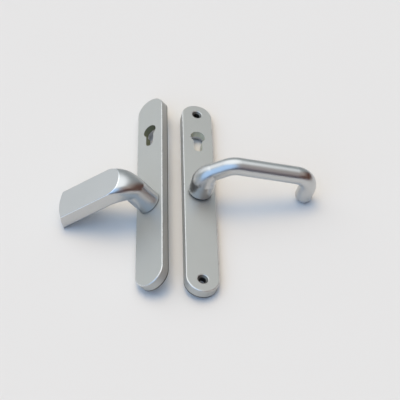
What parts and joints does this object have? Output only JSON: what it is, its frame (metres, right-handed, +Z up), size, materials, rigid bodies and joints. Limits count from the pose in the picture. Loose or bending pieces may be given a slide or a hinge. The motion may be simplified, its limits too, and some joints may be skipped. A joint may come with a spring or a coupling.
{
  "type": "security door handle set",
  "caption": "Two long round-ended door plates with euro cylinder holes: an outer one with a fixed wing knob and an inner one with a cranked sprung lever.",
  "frame": {"origin": "on the table, under the middle of the box round both halves as they lie", "axes": "+X from the outer half to the inner half, +Y along the plates towards the cylinder holes, +Z up"},
  "size_m": [0.2908, 0.2978, 0.0659],
  "materials": {
    "plate_metal": "satin anodised",
    "handle_metal": "satin polished",
    "back_plate_steel": "zinc plated",
    "fastener_steel": "zinc plated",
    "spring_steel": "oiled",
    "bush_plastic": "moulded"
  },
  "bodies": {
    "plates": {"outer_plate": "plate_metal", "security_plate": "back_plate_steel", "security_plate_screws": "fastener_steel", "press_nut_top": "fastener_steel", "press_nut_bottom": "fastener_steel", "knob": "handle_metal", "knob_screw": "fastener_steel", "knob_pins": "fastener_steel", "inner_plate": "plate_metal", "support_plate": "back_plate_steel", "support_plate_screws": "fastener_steel", "stop_pin": "fastener_steel", "bearing_bush": "bush_plastic", "return_spring": "spring_steel"},
    "lever": {"lever": "handle_metal", "grub_screw": "fastener_steel", "thrust_washer": "spring_steel", "retaining_ring": "spring_steel", "driver": "spring_steel"}
  },
  "joints": [
    {"name": "lever_turn", "type": "hinge", "parent": "plates", "child": "lever", "pos_m": [0.01312, -0.0059, 0.01502], "axis": [0.2335, 0, 0.9724], "range_deg": [-45, 0], "stiffness_Nm_per_rad": 1.5, "springref_deg": 22.92, "deforming": ["return_spring"]}
  ]
}
